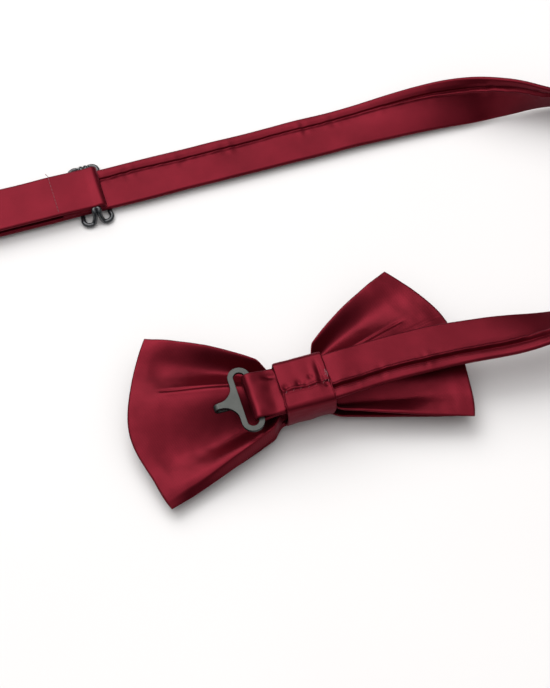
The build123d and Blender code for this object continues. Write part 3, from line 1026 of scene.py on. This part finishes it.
def build_hook():
    """Stamped hook: ring with round shoulders, flared tongue, tip folded down and back."""
    cx, k = -19.2, LINE_Y
    ro, ri, ly = 4.1, 2.05, 8.9
    z = BAND_Z
    tip = -29.2
    outer = arc_pts(cx, k + ly, ro, 0, 180, 28)
    flare = [(-23.3, 6.6), (-23.38, 5.6), (-23.7, 4.6), (-24.3, 3.6), (-25.2, 2.6), (-26.3, 1.75), (-27.6, 1.3),
             (tip, 1.15)]
    outer += [(x, k + y) for x, y in flare]
    outer += [(x, k - y) for x, y in flare[::-1]]
    outer += arc_pts(cx, k - ly, ro, 180, 360, 28)
    inner = arc_pts(cx, k + ly, ri, 0, 180, 22) + arc_pts(cx, k - ly, ri, 180, 360, 22)
    plate = flat_plate("hook_plate", [outer, inner], 1.2, z, 0.16, HOOK)
    r_mid, thick, w = 1.25, 1.0, 1.15
    zc = z + 0.6 - 1.75

    def bend(u, v):
        d = u * 9.0
        x0 = tip + 1.2
        if d < 1.2:
            c, up = Vector((x0 - d, k, zc + r_mid)), Vector((0, 0, 1))
        elif d < 1.2 + math.pi * r_mid:
            a = (d - 1.2) / r_mid
            c = Vector((tip - r_mid * math.sin(a), k, zc + r_mid * math.cos(a)))
            up = Vector((-math.sin(a), 0, math.cos(a)))
        else:
            c, up = Vector((tip + d - 1.2 - math.pi * r_mid, k, zc - r_mid)), Vector((0, 0, -1))
        a = v * 2 * math.pi
        cy, cz = math.cos(a), math.sin(a)
        p = 0.35
        y = w * math.copysign(abs(cy) ** p, cy)
        h = thick / 2 * math.copysign(abs(cz) ** p, cz)
        return c + Vector((0, 1, 0)) * y + up * h

    tongue = surface("hook_bend", bend, [i / 48 for i in range(49)], [i / 40 for i in range(40)], HOOK,
                     close_v=True, caps=True, uv=lambda u, v: (u * 9, v * 6), flip=True)
    o = join([plate, tongue], "hook_metal")
    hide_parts("hook")
    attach(o, "hook")


def build_slide():
    """Wire slide: two rounded slots side by side, the shared centre bar arched over the strap."""
    parts = []
    r = 0.9
    for side in (1, -1):
        xc = SLIDE_X + side * 3.15
        lob = 2.3
        half = 10.6
        pts = []
        for end in (1, -1):
            n = 14
            ring = []
            for i in range(n + 1):
                a = math.radians(lerp(-25, 205, i / n))
                u = clamp((i / n - 0.58) / 0.42)
                ring.append((xc + side * lob * math.cos(a), RUN_Y + end * (half + lob * math.sin(a)),
                             0.95 + (BAR_Z - 0.95) * smooth(u)))
            pts.append(ring)
        bar_out = xc + side * lob
        path = pts[0] + [(SLIDE_X + side * 0.35, RUN_Y + 8.6, BAR_Z)]
        path += [(SLIDE_X, RUN_Y + 6, BAR_Z), (SLIDE_X, RUN_Y, BAR_Z), (SLIDE_X, RUN_Y - 6, BAR_Z)]
        path += [(SLIDE_X + side * 0.35, RUN_Y - 8.6, BAR_Z)] + pts[1][::-1]
        path += [(bar_out, RUN_Y - 6, 0.9), (bar_out, RUN_Y, 0.9), (bar_out, RUN_Y + 6, 0.9)]
        parts.append(wire("w", path, r, SLIDE, closed=True))
    o = join(parts, "slide_wire")
    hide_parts("slide_adjuster")
    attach(o, "slide")


def build_eye():
    """Wire eye held in the strap's turn."""
    y0, y1, x0 = RUN_Y - 12, RUN_Y + 12, EYE_X - 7.0
    pts = [(EYE_X, RUN_Y - 8, EYE_Z), (EYE_X, RUN_Y, EYE_Z), (EYE_X, RUN_Y + 8, EYE_Z),
           (EYE_X - 0.3, y1 - 1.2, EYE_Z),
           (EYE_X - 1.6, y1, EYE_Z), (x0 + 2.2, y1 - 2.0, EYE_Z), (x0 + 0.3, y1 - 3.6, EYE_Z), (x0, y1 - 6, EYE_Z),
           (x0, RUN_Y, EYE_Z), (x0, y0 + 6, EYE_Z), (x0 + 0.3, y0 + 3.6, EYE_Z), (x0 + 2.2, y0 + 2.0, EYE_Z),
           (EYE_X - 1.6, y0, EYE_Z), (EYE_X - 0.3, y0 + 1.2, EYE_Z)]
    o = wire("eye_wire", pts, 0.8, SLIDE, closed=True)
    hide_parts("eye")
    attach(o, "eye")


# ---------------------------------------------------------------- stage
def stage():
    """Pale floor, a broad light behind the tie, a bright ceiling, and a camera above its near side."""
    m = Nodes("floor")
    cloud = m.noise(m.coords("Object", (3, 3, 3)), 1.0, 3)
    tint = m.ramp(cloud, [(0.3, (0.745, 0.735, 0.735)), (0.7, (0.775, 0.768, 0.765))])
    m.put(m.bsdf, Base_Color=tint, Roughness=0.6)
    m.bsdf.inputs["Specular IOR Level"].default_value = 0.2
    me = bpy.data.meshes.new("floor")
    s = 6.0
    corners = [(x * s, y * s, -0.0003) for x, y in ((-1, -1), (1, -1), (1, 1), (-1, 1))]
    me.from_pydata(corners, [], [(0, 1, 2, 3)])
    me.materials.append(m.mat)
    floor = bpy.data.objects.new("floor", me)
    bpy.context.scene.collection.objects.link(floor)

    world = bpy.data.worlds.new("studio")
    world.use_nodes = True
    bg = world.node_tree.nodes["Background"]
    bg.inputs[0].default_value = (1.0, 0.985, 0.98, 1)
    tree = world.node_tree
    where, split = tree.nodes.new("ShaderNodeTexCoord"), tree.nodes.new("ShaderNodeSeparateXYZ")
    sky = tree.nodes.new("ShaderNodeMapRange")
    sky.interpolation_type = "SMOOTHSTEP"
    for k, v in (("From Min", 0.25), ("From Max", 0.95), ("To Min", 0.05), ("To Max", 1.08)):
        sky.inputs[k].default_value = v
    tree.links.new(where.outputs["Generated"], split.inputs[0])
    tree.links.new(split.outputs["Z"], sky.inputs["Value"])
    tree.links.new(sky.outputs["Result"], bg.inputs[1])
    bpy.context.scene.world = world

    for name, place, aim, size, power, tint in (
            ("key", (-0.30, 1.20, 1.45), (0.0, 0.05, 0.0), 1.80, 22.0, (1.0, 0.985, 0.975)),
            ("top", (-0.2, 0.2, 1.3), (0.0, 0.05, 0.0), 1.4, 6.0, (1.0, 1.0, 1.0))):
        la = bpy.data.lights.new(name, "AREA")
        la.shape = "DISK"
        la.size = size
        la.energy = power
        la.color = tint
        o = bpy.data.objects.new(name, la)
        o.location = place
        o.rotation_mode = "QUATERNION"
        o.rotation_quaternion = (Vector(aim) - Vector(place)).to_track_quat("-Z", "Y")
        bpy.context.scene.collection.objects.link(o)

    sc = bpy.context.scene
    sc.view_settings.view_transform = "Standard"
    cam = bpy.data.objects.new("camera", bpy.data.cameras.new("camera"))
    sc.collection.objects.link(cam)
    cam.data.lens = 120
    cam.data.sensor_width = 36
    az, el, far = math.radians(-17), math.radians(60), 0.803
    back = Vector((math.sin(az) * math.cos(el), -math.cos(az) * math.cos(el), math.sin(el)))
    q = (-back).to_track_quat("-Z", "Y")
    right, up = q @ Vector((1, 0, 0)), q @ Vector((0, 1, 0))
    knot = Vector((0.0, -0.0008, 0.019))
    cam.location = knot + back * far - right * 0.00876 + up * 0.01506
    cam.rotation_mode = "QUATERNION"
    cam.rotation_quaternion = q
    cam.data.clip_start, cam.data.clip_end = 0.01, 20
    sc.camera = cam


build_bow()
build_knot()
build_knot_threads()
build_band()
build_tab()
build_hook()
build_slide()
build_eye()
stage()
